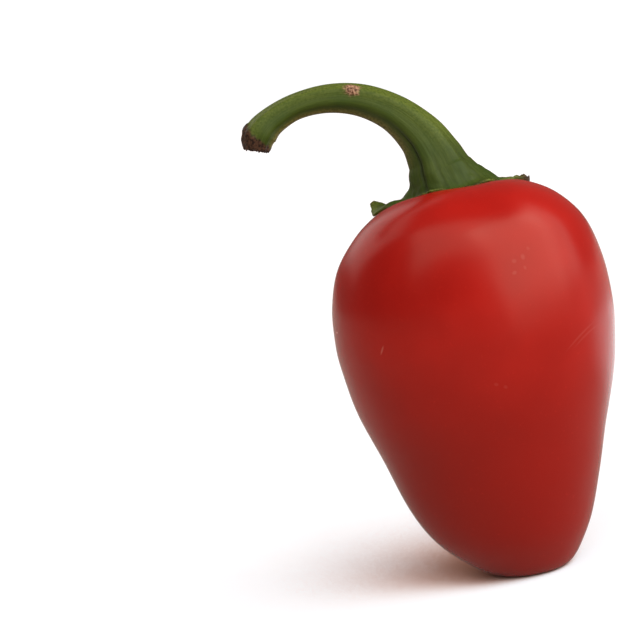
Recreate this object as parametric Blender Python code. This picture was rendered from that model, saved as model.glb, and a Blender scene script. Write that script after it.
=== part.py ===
"""Heart-shaped red pepper, picked with its stem on, standing on a small flat spot at its blossom end.

It has two pieces: the fruit, and the green stem, whose foot spreads into the toothed calyx that caps
the fruit. Metres, +Z up. The origin is the centre of the flat spot. The stem hooks over towards -X,
and -Y is the front.
"""

from math import atan2, cos, exp, pi, radians, sin, tan

import bmesh
import bpy
from mathutils import Vector, noise
from mathutils.bvhtree import BVHTree

MM = 0.001
UP = Vector((0, 0, 1))

# Fruit, from the surface that it stands on to the crest of its shoulders
FRUIT_HEIGHT = 68.5 * MM
FRUIT_RADIUS = 24.8 * MM
DEPTH_SHARE = 0.97  # front to back against left to right
FRUIT_SIDES = 64
FRUIT_STEPS = 2

# Half outline as shares of FRUIT_RADIUS and FRUIT_HEIGHT, from below the blossom end, up the heart's
# side, over the shoulder and down into the hollow under the stem
FRUIT_OUTLINE = (
    (0.0, -0.0190),
    (0.150, -0.0135),
    (0.290, 0.003),
    (0.427, 0.046),
    (0.586, 0.124),
    (0.703, 0.226),
    (0.812, 0.354),
    (0.925, 0.484),
    (0.986, 0.604),
    (1.0, 0.680),
    (0.977, 0.772),
    (0.895, 0.868),
    (0.738, 0.941),
    (0.575, 0.983),
    (0.430, 1.0),
    (0.300, 0.988),
    (0.150, 0.960),
    (0.0, 0.950),
)

# The fruit's axis stands beside the flat spot, and bends over to it near the blossom end
AXIS_X = -2.6 * MM
BEND_TOP = 20.0 * MM
BEND_POWER = 2.5

# Furrows between the three lobes: azimuth and depth at the shoulder
FURROWS = (
    (radians(-77), 0.4 * MM),
    (radians(47), 1.5 * MM),
    (radians(141), 1.2 * MM),
)
FURROW_SPREAD = radians(21)
FURROW_START = 24.0 * MM
FURROW_FULL = 60.0 * MM

# The shoulders slope down to the back and a little to the left
SLOPE_BACK = tan(radians(11.5))
SLOPE_LEFT = tan(radians(2))
SLOPE_START = 42.0 * MM
SLOPE_FULL = 64.0 * MM

# The front of the crest dips a little beside the stem: how far from the fruit's axis, how deep, how
# wide, and how far in front of the axis it starts and is full
DIP_X = 11.5 * MM
DIP_DEPTH = 0.3 * MM
DIP_SPREAD = 7.0 * MM
DIP_START = 1.0 * MM
DIP_FULL = 8.0 * MM

# Calyx: a thin cap that lies on the shoulders and thickens towards the stem's foot
CALYX_RADIUS = 9.0 * MM
CALYX_EDGE = 0.7 * MM
CALYX_ROOT = 1.1 * MM
CALYX_GAP = 0.35 * MM
CALYX_CUT = 14.1 * MM  # the tooth under the hook ends square, this far from the fruit's axis
CURL_START = 0.4  # share of the way out to the edge where a tooth's tip starts to curl up
TOOTH_SIDE = 0.35  # share of a tooth's half width over which the curl fades out at its sides
CALYX_ROUGH = 0.3 * MM
ROUGH_WAVES = 5.0
STEM_FOOT_RADIUS = 7.4 * MM
FOOT_SPREAD_BACK = 1.8 * MM  # how much further the stem's foot runs out behind its hook
FOOT_SPREAD_HOOK = 2.2 * MM  # and under the hook, into the tooth there
FOOT_TOOTH = radians(173)
FOOT_TOOTH_SPREAD = radians(16)
FLARE_PULL_BACK = 0.5  # how strongly the flare hollows out between foot and stem, behind the hook
FLARE_PULL_HOOK = 0.8  # and under the hook

# Where its rings lie: shares of the stem's foot under the stem, then shares of the way from the
# foot to the toothed edge, on the underside and back over the top, then up the flare to the stem
MIDDLE_SHARES = (0.12, 0.4, 0.7)
UNDERSIDE_SHARES = (0.0, 0.25, 0.5, 0.72, 0.94)
TOP_SHARES = (0.94, 0.72, 0.36, 0.0)
FLARE_SHARES = (0.12, 0.3, 0.5, 0.75)

# Its six uneven teeth: azimuth, reach past CALYX_RADIUS, half width, how pointed it is (below 1 it
# is blunt), how far the tip curls up, and the share of that curl which its counterclockwise side loses
CALYX_TEETH = (
    (radians(173), 6.0 * MM, radians(20), 0.2, 3.5 * MM, 1.0),
    (radians(126), 2.8 * MM, radians(16), 1.2, 0.8 * MM, 0.0),
    (radians(72), 3.2 * MM, radians(16), 1.2, 0.4 * MM, 0.0),
    (radians(6), 5.0 * MM, radians(24), 1.4, 0.1 * MM, 0.0),
    (radians(-48), 0.8 * MM, radians(17), 1.2, 0.1 * MM, 0.0),
    (radians(-114), 0.6 * MM, radians(17), 1.2, 0.1 * MM, 0.0),
)
TWIST_FROM = -0.7  # shares of a tooth's half width between which it loses that curl
TWIST_TO = 0.6

# Stem centreline from the calyx to the broken end: x from the fruit's axis, y, z and the stem's radius
STEM_LINE = (
    (0.3 * MM, 0.2 * MM, 68.6 * MM, 8.6 * MM),
    (-0.5 * MM, 0.6 * MM, 70.9 * MM, 6.6 * MM),
    (-1.1 * MM, 1.0 * MM, 73.0 * MM, 5.6 * MM),
    (-1.75 * MM, 1.3 * MM, 75.8 * MM, 4.73 * MM),
    (-3.5 * MM, 1.7 * MM, 79.8 * MM, 3.95 * MM),
    (-7.2 * MM, 2.3 * MM, 84.2 * MM, 3.2 * MM),
    (-12.3 * MM, 2.7 * MM, 87.4 * MM, 2.78 * MM),
    (-18.0 * MM, 2.8 * MM, 88.8 * MM, 2.45 * MM),
    (-23.8 * MM, 2.5 * MM, 88.5 * MM, 2.24 * MM),
    (-28.4 * MM, 2.1 * MM, 86.8 * MM, 2.45 * MM),
    (-31.0 * MM, 1.8 * MM, 84.7 * MM, 2.8 * MM),
    (-32.0 * MM, 1.6 * MM, 82.1 * MM, 2.1 * MM),
)
STEM_FROM = 2  # the point of the line where the stem is clear of its flare
STEM_SIDES = 60
STEM_STEPS = 2
STEM_RIBS = 6
RIB_AZIMUTH = radians(5)
RIB_SHARE = 0.045  # rib height against the stem's radius


def smoothstep(low, high, value):
    share = min(1.0, max(0.0, (value - low) / (high - low)))
    return share * share * (3 - 2 * share)


def mix(a, b, share):
    return a + (b - a) * share


def turn_between(a, b):
    """The angle from b to a, between -pi and pi."""
    return (a - b + pi) % (2 * pi) - pi


def curve_between(a, b, c, d, t):
    """The point at share t from b to c on the Catmull-Rom curve through four points."""
    straight = b + (c - a) * (t / 2)
    return straight + (2 * a - 5 * b + 4 * c - d) * (t**2 / 2) + (3 * b - a - 3 * c + d) * (t**3 / 2)


def spline(points, steps):
    """Points along a smooth curve through the given ones, steps to a span."""
    points = [Vector(p) for p in points]
    ends = [2 * points[0] - points[1], *points, 2 * points[-1] - points[-2]]
    made = []
    for span in zip(ends, ends[1:], ends[2:], ends[3:]):
        made += [curve_between(*span, step / steps) for step in range(steps)]
    return [*made, points[-1]]


def furrow_depth(place):
    """How far the skin sinks in at a point of the plain body."""
    azimuth = atan2(place.y, place.x)
    depth = sum(
        deep * exp(-((turn_between(azimuth, where) / FURROW_SPREAD) ** 2))
        for where, deep in FURROWS
    )
    return depth * smoothstep(FURROW_START, FURROW_FULL, place.z)


def shape_fruit(bm):
    """Turns the plain lathed body into the lobed heart with its sloping shoulders."""
    bm.normal_update()
    for vert in bm.verts:
        vert.co -= vert.normal * furrow_depth(vert.co)
    for vert in bm.verts:
        vert.co.y *= DEPTH_SHARE
        slope = smoothstep(SLOPE_START, SLOPE_FULL, vert.co.z)
        rise = vert.co.x * SLOPE_LEFT - vert.co.y * SLOPE_BACK
        dip = DIP_DEPTH * exp(-(((vert.co.x - DIP_X) / DIP_SPREAD) ** 2))
        rise -= dip * smoothstep(DIP_START, DIP_FULL, -vert.co.y)
        bend = min(1.0, max(0.0, 1 - vert.co.z / BEND_TOP)) ** BEND_POWER
        vert.co.x += AXIS_X * (1 - bend)
        vert.co.z += rise * slope


def cut_flat_spot(bm):
    """Takes off what lies below the surface and closes the cut with one flat face."""
    everything = bm.verts[:] + bm.edges[:] + bm.faces[:]
    cut = bmesh.ops.bisect_plane(
        bm, geom=everything, plane_co=(0, 0, 0), plane_no=UP, clear_inner=True
    )
    rim = [e for e in cut["geom_cut"] if isinstance(e, bmesh.types.BMEdge)]
    bmesh.ops.edgeloop_fill(bm, edges=rim)


def make_fruit():
    bm = bmesh.new()
    outline = spline(
        [(r * FRUIT_RADIUS, 0, h * FRUIT_HEIGHT) for r, h in FRUIT_OUTLINE], FRUIT_STEPS
    )
    verts = [bm.verts.new(p) for p in outline]
    edges = [bm.edges.new(pair) for pair in zip(verts, verts[1:])]
    bmesh.ops.spin(
        bm,
        geom=verts + edges,
        cent=(0, 0, 0),
        axis=UP,
        angle=2 * pi,
        steps=FRUIT_SIDES,
        use_merge=True,
    )
    bmesh.ops.remove_doubles(bm, verts=bm.verts, dist=0.001 * MM)
    bmesh.ops.recalc_face_normals(bm, faces=bm.faces)
    shape_fruit(bm)
    cut_flat_spot(bm)
    bmesh.ops.recalc_face_normals(bm, faces=bm.faces)
    return bm


def foot_radius(azimuth):
    """How far out the stem's foot stands on the calyx."""
    back = FOOT_SPREAD_BACK * max(0.0, cos(azimuth)) ** 3
    across = turn_between(azimuth, FOOT_TOOTH) / FOOT_TOOTH_SPREAD
    return STEM_FOOT_RADIUS + back + FOOT_SPREAD_HOOK * exp(-(across**2))


def tooth_share(azimuth, where, half_width, point):
    """1 on a tooth's middle line, falling to 0 at its sides."""
    return max(0.0, 1 - abs(turn_between(azimuth, where)) / half_width) ** point


def calyx_reach(azimuth):
    rough = noise.noise(Vector((cos(azimuth), sin(azimuth), 0)) * ROUGH_WAVES) * CALYX_ROUGH
    teeth = sum(
        reach * tooth_share(azimuth, where, wide, point)
        for where, reach, wide, point, _, _ in CALYX_TEETH
    )
    cut = CALYX_CUT / -cos(azimuth) if cos(azimuth) < 0 else CALYX_RADIUS + teeth
    return min(CALYX_RADIUS + teeth, cut) + rough


def calyx_curl(azimuth):
    """How far the calyx's edge stands up at an azimuth."""
    curled = 0.0
    for where, _, wide, _, curl, twist in CALYX_TEETH:
        across = turn_between(azimuth, where) / wide
        kept = 1 - twist * smoothstep(TWIST_FROM, TWIST_TO, across)
        curled += curl * kept * smoothstep(0, TOOTH_SIDE, 1 - abs(across))
    return curled


def on_calyx(fruit, azimuth, radius, thickness=0.0, lift=0.0):
    """A point of the calyx, the given thickness off its underside, which follows the fruit."""
    above = Vector((AXIS_X + radius * cos(azimuth), radius * sin(azimuth), 2 * FRUIT_HEIGHT))
    place, normal, _, _ = fruit.ray_cast(above, -UP)
    return place + normal * (CALYX_GAP + thickness) + UP * lift


def calyx_ring(fruit, azimuths, share, thickness=0.0):
    """A ring of the calyx: share 0 is the stem's foot and 1 the calyx's toothed edge."""
    ring = []
    for azimuth in azimuths:
        radius = mix(foot_radius(azimuth), calyx_reach(azimuth), share)
        lift = calyx_curl(azimuth) * max(0.0, share - CURL_START) / (1 - CURL_START)
        ring.append(on_calyx(fruit, azimuth, radius, thickness, lift))
    return ring


def stem_rings(azimuths):
    """One ring of points for each step along the stem, ribbed and square to the centreline."""
    line = spline(STEM_LINE, STEM_STEPS)
    centres = [Vector(p[:3]) + Vector((AXIS_X, 0, 0)) for p in line]
    ahead = [(b - a).normalized() for a, b in zip(centres, centres[1:])]
    ahead.append(ahead[-1])
    side = Vector((1, 0, 0))
    side = (side - ahead[0] * side.dot(ahead[0])).normalized()
    before = ahead[0]
    rings = []
    for centre, point, along in zip(centres, line, ahead):
        side.rotate(before.rotation_difference(along))
        other = along.cross(side)
        before = along
        ring = []
        for azimuth in azimuths:
            radius = point[3] * (1 + RIB_SHARE * cos(STEM_RIBS * (azimuth - RIB_AZIMUTH)))
            ring.append(centre + (side * cos(azimuth) + other * sin(azimuth)) * radius)
        rings.append(ring)
    return rings


def flare_point(azimuth, shoulder, foot, start, above, share):
    """A point of the hollow flare that joins the calyx's foot to the start of the stem."""
    pull = mix(FLARE_PULL_HOOK, FLARE_PULL_BACK, (1 + cos(azimuth)) / 2) * (start - foot).length
    leaving = (foot - shoulder).normalized() * pull
    arriving = (above - start).normalized() * pull
    return curve_between(start - 2 * leaving, foot, start, foot + 2 * arriving, share)


def all_rings(fruit):
    """From the middle of the calyx's underside, out round its edge, in over its top and up the stem."""
    azimuths = [2 * pi * index / STEM_SIDES for index in range(STEM_SIDES)]
    rings = []
    for share in MIDDLE_SHARES:
        rings.append([on_calyx(fruit, a, share * foot_radius(a)) for a in azimuths])
    for share in UNDERSIDE_SHARES:
        rings.append(calyx_ring(fruit, azimuths, share))
    rings.append(calyx_ring(fruit, azimuths, 1.0, CALYX_EDGE / 2))
    for share in TOP_SHARES:
        rings.append(calyx_ring(fruit, azimuths, share, mix(CALYX_ROOT, CALYX_EDGE, share)))
    stem = stem_rings(azimuths)[STEM_FROM * STEM_STEPS :]
    spans = list(zip(azimuths, *rings[-2:], *stem[:2]))
    flare = [[flare_point(*span, share) for span in spans] for share in FLARE_SHARES]
    return [*rings, *flare, *stem]


def grow_ring(bm, ring, places):
    """Extrudes a closed ring of vertices and moves the new ones, kept in order, to their places."""
    edges = [bm.edges.get(pair) for pair in zip(ring, ring[1:] + ring[:1])]
    made = bmesh.ops.extrude_edge_only(bm, edges=edges)["geom"]
    new = {v for v in made if isinstance(v, bmesh.types.BMVert)}
    grown = [
        next(e.other_vert(v) for e in v.link_edges if e.other_vert(v) in new) for v in ring
    ]
    for vert, place in zip(grown, places):
        vert.co = place
    return grown


def close_ring(bm, ring):
    edges = [bm.edges.get(pair) for pair in zip(ring, ring[1:] + ring[:1])]
    bmesh.ops.edgeloop_fill(bm, edges=edges)


def make_stem_and_calyx(fruit):
    rings = all_rings(fruit)
    bm = bmesh.new()
    ring = bmesh.ops.create_circle(bm, segments=STEM_SIDES, radius=MM)["verts"]
    for vert, place in zip(ring, rings[0]):
        vert.co = place
    close_ring(bm, ring)
    for places in rings[1:]:
        ring = grow_ring(bm, ring, places)
    close_ring(bm, ring)
    bmesh.ops.recalc_face_normals(bm, faces=bm.faces)
    return bm


def finish_material(name, colour, roughness):
    material = bpy.data.materials.new(name)
    material.use_nodes = True
    shader = material.node_tree.nodes["Principled BSDF"]
    shader.inputs["Base Color"].default_value = (*colour, 1)
    shader.inputs["Roughness"].default_value = roughness
    shader.inputs["Metallic"].default_value = 0.0
    material.diffuse_color = (*colour, 1)
    return material


def add_object(name, bm, material):
    mesh = bpy.data.meshes.new(name)
    bm.to_mesh(mesh)
    bm.free()
    mesh.shade_smooth()
    mesh.set_sharp_from_angle(angle=radians(50))
    mesh.materials.append(material)
    bpy.context.scene.collection.objects.link(bpy.data.objects.new(name, mesh))


def main():
    for obj in list(bpy.data.objects):
        bpy.data.objects.remove(obj)
    fruit = make_fruit()
    stem = make_stem_and_calyx(BVHTree.FromBMesh(fruit))
    add_object("fruit", fruit, finish_material("red_skin", (0.50, 0.012, 0.010), 0.32))
    add_object("stem_and_calyx", stem, finish_material("green_stem", (0.075, 0.150, 0.020), 0.50))


main()
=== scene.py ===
# %% [markdown]
# This scene dresses a heart-shaped red pepper, picked with its stem on and standing on its blossom end.
# A real one is two pieces grown together: a hollow glossy fruit, and a green stem whose foot spreads
# into the toothed calyx on the fruit's shoulders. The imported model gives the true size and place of
# both, so it is loaded first, and every piece below is worked out from its boxes. Units are metres,
# +Z is up and -Y is the front.

from math import atan2, cos, exp, pi, radians, sin, sqrt, tan

import bmesh
import bpy
from mathutils import Matrix, Vector, noise
from mathutils.bvhtree import BVHTree


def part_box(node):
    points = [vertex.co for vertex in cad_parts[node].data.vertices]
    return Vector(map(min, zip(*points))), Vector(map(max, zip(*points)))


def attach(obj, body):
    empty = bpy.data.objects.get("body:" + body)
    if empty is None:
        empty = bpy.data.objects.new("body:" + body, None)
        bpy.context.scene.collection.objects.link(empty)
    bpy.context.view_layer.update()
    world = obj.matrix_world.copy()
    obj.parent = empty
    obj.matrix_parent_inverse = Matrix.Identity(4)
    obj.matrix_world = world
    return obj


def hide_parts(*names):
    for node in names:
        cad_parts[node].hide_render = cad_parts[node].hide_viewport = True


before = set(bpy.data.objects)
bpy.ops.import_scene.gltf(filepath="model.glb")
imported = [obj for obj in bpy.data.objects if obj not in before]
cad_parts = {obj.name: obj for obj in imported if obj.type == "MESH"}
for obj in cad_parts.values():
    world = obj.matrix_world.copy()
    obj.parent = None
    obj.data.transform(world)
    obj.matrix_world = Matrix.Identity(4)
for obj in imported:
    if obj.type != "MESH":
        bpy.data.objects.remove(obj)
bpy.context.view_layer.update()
fruit_low, fruit_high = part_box("fruit")
MM = 0.001
UP = Vector((0, 0, 1))

# %% [markdown]
# The camera comes first, because a few small marks and painted glints on the skin are placed by where it
# sees them. The pepper was photographed from a little above, with a long lens. It leant over there, but
# stands upright here, so the camera is rolled by the angle that it leant.

# %% Place the camera
IMAGE_SIDE = 633  # pixels, both ways
LENS = 110.0  # mm on a 36 mm sensor
SENSOR = 36.0
CLIP_START = 10 * MM
CLIP_END = 20.0
CAMERA_AIM = Vector((-29.66, 0.15, 51.64)) * MM
CAMERA_DISTANCE = 341.38 * MM
CAMERA_ELEVATION = radians(7.5)
CAMERA_ROLL = radians(-10.5)

scene = bpy.context.scene
camera = bpy.data.objects.new("camera", bpy.data.cameras.new("camera"))
camera.data.lens = LENS
camera.data.sensor_width = SENSOR
camera.data.clip_start = CLIP_START
camera.data.clip_end = CLIP_END
looking = Vector((0, cos(CAMERA_ELEVATION), -sin(CAMERA_ELEVATION)))
turn = looking.to_track_quat("-Z", "Y").to_matrix() @ Matrix.Rotation(CAMERA_ROLL, 3, "Z")
camera.matrix_world = Matrix.Translation(CAMERA_AIM - looking * CAMERA_DISTANCE) @ turn.to_4x4()
scene.collection.objects.link(camera)
scene.camera = camera
print("the camera stands", round(CAMERA_DISTANCE / MM), "mm away")

# %% [markdown]
# Grown shapes have no straight lines, so their outlines are a few points joined by a smooth curve.
# Catmull-Rom curves go through every point, which keeps each one a real measurement.

# %% Helpers for smooth steps and curves
def smoothstep(low, high, value):
    share = min(1.0, max(0.0, (value - low) / (high - low)))
    return share * share * (3 - 2 * share)


def mix(a, b, share):
    return a + (b - a) * share


def turn_between(a, b):
    """The angle from b to a, between -pi and pi."""
    return (a - b + pi) % (2 * pi) - pi


def bump(value, middle, spread):
    """1 at the middle, falling softly to 0 a few spreads away."""
    return exp(-(((value - middle) / spread) ** 2))


def curve_between(a, b, c, d, t):
    """The point at share t from b to c on the Catmull-Rom curve through four points."""
    straight = b + (c - a) * (t / 2)
    return straight + (2 * a - 5 * b + 4 * c - d) * (t**2 / 2) + (3 * b - a - 3 * c + d) * (t**3 / 2)


def spline(points, steps):
    """Points along a smooth curve through the given ones, steps to a span."""
    points = [Vector(p) for p in points]
    ends = [2 * points[0] - points[1], *points, 2 * points[-1] - points[-2]]
    made = []
    for span in zip(ends, ends[1:], ends[2:], ends[3:]):
        made += [curve_between(*span, step / steps) for step in range(steps)]
    return [*made, points[-1]]


# %% [markdown]
# The fruit is a fleshy heart. It could be sculpted from a ball, but a lathe keeps its outline exact: a
# half outline is spun round the upright axis, and then the skin is pushed about by formulas, for the
# furrows between the seed chambers, the shoulders that slope to the back, and the low waves that make
# a real skin's reflections wander.

# %% Fruit sizes, from the frame
CREST_SHARE = 0.9733  # the plain body's crest against the top of the sloping shoulders
FRUIT_HEIGHT = fruit_high.z * CREST_SHARE
FRUIT_RADIUS = (fruit_high.x - fruit_low.x) / 2
AXIS_X = (fruit_high.x + fruit_low.x) / 2
DEPTH_SHARE = 0.97  # front to back against left to right
FRUIT_SIDES = 280
FRUIT_STEPS = 8
MERGE_CLOSER = 0.0005 * MM  # the lathe's first and last points meet on the axis

# Half outline as shares of FRUIT_RADIUS and FRUIT_HEIGHT, from below the blossom end, up the heart's
# side, over the shoulder and down into the hollow under the stem
FRUIT_OUTLINE = (
    (0.0, -0.0190),
    (0.150, -0.0135),
    (0.290, 0.003),
    (0.427, 0.046),
    (0.586, 0.124),
    (0.703, 0.226),
    (0.812, 0.354),
    (0.925, 0.484),
    (0.986, 0.604),
    (1.0, 0.680),
    (0.977, 0.772),
    (0.895, 0.868),
    (0.738, 0.941),
    (0.575, 0.983),
    (0.430, 1.0),
    (0.300, 0.988),
    (0.150, 0.960),
    (0.0, 0.950),
)
BEND_TOP = 20.0 * MM
BEND_POWER = 2.5

# Furrows between the three lobes: azimuth and depth at the shoulder
FURROWS = (
    (radians(-77), 0.4 * MM),
    (radians(47), 1.5 * MM),
    (radians(141), 1.2 * MM),
)
FURROW_SPREAD = radians(21)
FURROW_START = 24.0 * MM
FURROW_FULL = 60.0 * MM
SLOPE_BACK = tan(radians(11.5))
SLOPE_LEFT = tan(radians(2))
SLOPE_START = 42.0 * MM
SLOPE_FULL = 64.0 * MM

# The front of the crest dips a little beside the stem: how far from the fruit's axis, how deep, how
# wide, and how far in front of the axis it starts and is full
DIP_X = 11.5 * MM
DIP_DEPTH = 0.3 * MM
DIP_SPREAD = 7.0 * MM
DIP_START = 1.0 * MM
DIP_FULL = 8.0 * MM

# Slow waves in the skin: size of a wave and how far it moves the skin
SKIN_WAVES = ((14 * MM, 0.16 * MM), (5 * MM, 0.035 * MM))

# %% Lathe the fruit
def lathe(outline, sides):
    """Spins a half outline in the XZ plane right round the Z axis."""
    bm = bmesh.new()
    verts = [bm.verts.new(p) for p in outline]
    edges = [bm.edges.new(pair) for pair in zip(verts, verts[1:])]
    bmesh.ops.spin(
        bm,
        geom=verts + edges,
        cent=(0, 0, 0),
        axis=UP,
        angle=2 * pi,
        steps=sides,
        use_merge=True,
    )
    bmesh.ops.remove_doubles(bm, verts=bm.verts, dist=MERGE_CLOSER)
    bmesh.ops.recalc_face_normals(bm, faces=bm.faces)
    bm.normal_update()
    return bm


outline = spline([(r * FRUIT_RADIUS, 0, h * FRUIT_HEIGHT) for r, h in FRUIT_OUTLINE], FRUIT_STEPS)
fruit_bm = lathe(outline, FRUIT_SIDES)
print("the lathed fruit has", len(fruit_bm.verts), "points")

# %% Push the skin into lobes, slopes and waves
def furrow_depth(place):
    azimuth = atan2(place.y, place.x)
    depth = sum(
        deep * bump(turn_between(azimuth, where), 0, FURROW_SPREAD)
        for where, deep in FURROWS
    )
    return depth * smoothstep(FURROW_START, FURROW_FULL, place.z)


def skin_wave(place):
    return sum(noise.noise(place / size) * height for size, height in SKIN_WAVES)


for vert in fruit_bm.verts:
    vert.co += vert.normal * (skin_wave(vert.co) - furrow_depth(vert.co))
for vert in fruit_bm.verts:
    vert.co.y *= DEPTH_SHARE
    slope = smoothstep(SLOPE_START, SLOPE_FULL, vert.co.z)
    rise = vert.co.x * SLOPE_LEFT - vert.co.y * SLOPE_BACK
    dip = DIP_DEPTH * bump(vert.co.x, DIP_X, DIP_SPREAD)
    rise -= dip * smoothstep(DIP_START, DIP_FULL, -vert.co.y)
    bend = min(1.0, max(0.0, 1 - vert.co.z / BEND_TOP)) ** BEND_POWER
    vert.co.x += AXIS_X * (1 - bend)
    vert.co.z += rise * slope
print("the crest is", round(max(v.co.z for v in fruit_bm.verts) / MM, 1), "mm up")

# %% [markdown]
# At the blossom end the fruit settles on a small flat spot. A hard cut would look sawn off, so the
# skin is squeezed up with a soft bend. In its middle the flower has left a shallow dimple with
# puckered sides and a corky point.

# %% Settle the blossom end on its flat spot
SETTLE_BELOW = 5 * MM
SETTLE_SOFTNESS = 0.5 * MM
DIMPLE_DEPTH = 0.9 * MM
DIMPLE_RADIUS = 2.6 * MM
PUCKERS = 7
PUCKER_DEPTH = 0.12 * MM
PUCKER_PLACE = 1.7 * MM  # how far from the dimple's middle the puckers are deepest
PUCKER_SPREAD = 0.7 * MM
BLOSSOM_SCAR_HEIGHT = 0.5 * MM
BLOSSOM_SCAR_RADIUS = 0.8 * MM
BLOSSOM_SCAR_ROUGH = 0.3
BLOSSOM_SCAR_GRAIN = 0.4 * MM

for vert in fruit_bm.verts:
    low = vert.co.z
    if low < SETTLE_BELOW:
        vert.co.z = (low + sqrt(low**2 + SETTLE_SOFTNESS**2)) / 2
        away = Vector((vert.co.x, vert.co.y)).length
        azimuth = atan2(vert.co.y, vert.co.x)
        pucker = PUCKER_DEPTH * cos(PUCKERS * azimuth) * bump(away, PUCKER_PLACE, PUCKER_SPREAD)
        vert.co.z += DIMPLE_DEPTH * bump(away, 0, DIMPLE_RADIUS) + pucker
        rough = 1 + BLOSSOM_SCAR_ROUGH * noise.noise(vert.co / BLOSSOM_SCAR_GRAIN)
        vert.co.z -= BLOSSOM_SCAR_HEIGHT * rough * bump(away, 0, BLOSSOM_SCAR_RADIUS)
fruit_bm.normal_update()
skin = BVHTree.FromBMesh(fruit_bm)
print("the lowest point is", round(min(v.co.z for v in fruit_bm.verts) / MM, 3), "mm up")

# %% Finish a bmesh as a piece of the pepper
def add_piece(name, bm, material, node):
    """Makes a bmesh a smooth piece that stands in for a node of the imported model."""
    mesh = bpy.data.meshes.new(name)
    bm.to_mesh(mesh)
    bm.free()
    mesh.shade_smooth()
    mesh.materials.append(material)
    piece = bpy.data.objects.new(name, mesh)
    scene.collection.objects.link(piece)
    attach(piece, "root")
    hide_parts(node)
    triangles = sum(len(face.vertices) - 2 for face in mesh.polygons)
    print(name, "has", triangles, "triangles")


# %% [markdown]
# The calyx is what is left of the flower's sepals: a leathery green cap with a ragged, dried margin
# and a few uneven teeth. It could be cut from a sheet, but it grows out of the stem without a seam, so
# calyx and stem are made as one skin. A ring of points starts in the middle of the calyx's underside
# and is extruded again and again: out over the fruit, round the thin edge, back in over the top, up
# the stem and into the broken end.

# %% Calyx sizes
CALYX_RADIUS = 9.0 * MM
CALYX_EDGE = 0.35 * MM
CALYX_ROOT = 1.2 * MM
CALYX_GAP = 0.05 * MM
STEM_FOOT_RADIUS = 7.4 * MM
FOOT_SPREAD_BACK = 1.8 * MM  # how much further the stem's foot runs out behind its hook
FOOT_SPREAD_HOOK = 2.2 * MM  # and under the hook, into the tooth there
FOOT_TOOTH = radians(173)
FOOT_TOOTH_SPREAD = radians(16)
STEM_SIDES = 240
RING_ANGLES = [2 * pi * index / STEM_SIDES for index in range(STEM_SIDES)]

# Six uneven teeth: azimuth, reach past CALYX_RADIUS, half width, how pointed it is (below 1 it is
# blunt), how far the tip curls up, and the share of that curl which its counterclockwise side loses
CALYX_TEETH = (
    (radians(173), 6.0 * MM, radians(20), 0.2, 3.9 * MM, 1.0),
    (radians(126), 2.8 * MM, radians(16), 1.2, 1.2 * MM, 0.4),
    (radians(72), 3.2 * MM, radians(16), 1.2, 0.8 * MM, 0.6),
    (radians(6), 5.0 * MM, radians(24), 1.4, 0.0, 0.0),
    (radians(-48), 0.8 * MM, radians(17), 1.2, 0.2 * MM, 0.0),
    (radians(-114), 0.6 * MM, radians(17), 1.2, 0.2 * MM, 0.0),
)
CALYX_CUT = 14.1 * MM  # the tooth under the hook ends square, this far from the fruit's axis
CURL_START = 0.4  # share of the way out to the edge where a tooth's tip starts to curl up
TOOTH_SIDE = 0.35  # share of a tooth's half width over which the curl fades out at its sides
TWIST_FROM = -0.7  # shares of a tooth's half width between which it loses that curl
TWIST_TO = 0.6

# The margin is bitten and frayed: how many waves in a unit of its circle, and how deep each cuts
MARGIN_WAVES = ((5.0, 0.30 * MM), (17.0, 0.28 * MM), (41.0, 0.16 * MM))

# Its top is crumpled: the size of a fold and how high it stands
CALYX_CRUMPLE = ((2.2 * MM, 0.10 * MM), (0.7 * MM, 0.07 * MM))
CRUMPLE_FULL = 0.4  # share of the way out to the edge where the crumpling is full

# The tip of the tooth behind the hook has dried and rolled up into a dark knob
KNOB_AZIMUTH = radians(6)
KNOB_SPREAD = radians(7)
KNOB_HEIGHT = 0.75 * MM
KNOB_FROM = 0.80  # share of the way out to the edge where the knob starts
KNOB_FULL = 0.88
KNOB_LUMPS = 1.2  # how uneven its height is
KNOB_GRAIN = 0.5 * MM
print("the calyx has", len(CALYX_TEETH), "teeth")


# %% Rings of the calyx
def foot_radius(azimuth):
    """How far out the stem's foot stands on the calyx."""
    back = FOOT_SPREAD_BACK * max(0.0, cos(azimuth)) ** 3
    hook = FOOT_SPREAD_HOOK * bump(turn_between(azimuth, FOOT_TOOTH), 0, FOOT_TOOTH_SPREAD)
    return STEM_FOOT_RADIUS + back + hook


def tooth_share(azimuth, where, half_width, point):
    """1 on a tooth's middle line, falling to 0 at its sides."""
    return max(0.0, 1 - abs(turn_between(azimuth, where)) / half_width) ** point


def calyx_reach(azimuth):
    round_place = Vector((cos(azimuth), sin(azimuth), 0))
    frayed = sum(noise.noise(round_place * waves) * deep for waves, deep in MARGIN_WAVES)
    teeth = sum(
        reach * tooth_share(azimuth, where, wide, point)
        for where, reach, wide, point, _, _ in CALYX_TEETH
    )
    cut = CALYX_CUT / -cos(azimuth) if cos(azimuth) < 0 else CALYX_RADIUS + teeth
    return min(CALYX_RADIUS + teeth, cut) + frayed


def calyx_lift(azimuth, share):
    """How far the curl of the teeth's tips lifts a point, a share of the way out to the edge."""
    lift = 0.0
    for where, _, wide, _, curl, twist in CALYX_TEETH:
        across = turn_between(azimuth, where) / wide
        kept = 1 - twist * smoothstep(TWIST_FROM, TWIST_TO, across)
        lift += curl * kept * smoothstep(0, TOOTH_SIDE, 1 - abs(across))
    return lift * max(0.0, share - CURL_START) / (1 - CURL_START)


def knob_share(azimuth, share):
    """1 in the dried knob at the tip of one tooth, 0 in the rest of the calyx."""
    across = bump(turn_between(azimuth, KNOB_AZIMUTH), 0, KNOB_SPREAD)
    return across * smoothstep(KNOB_FROM, KNOB_FULL, share)


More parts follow.
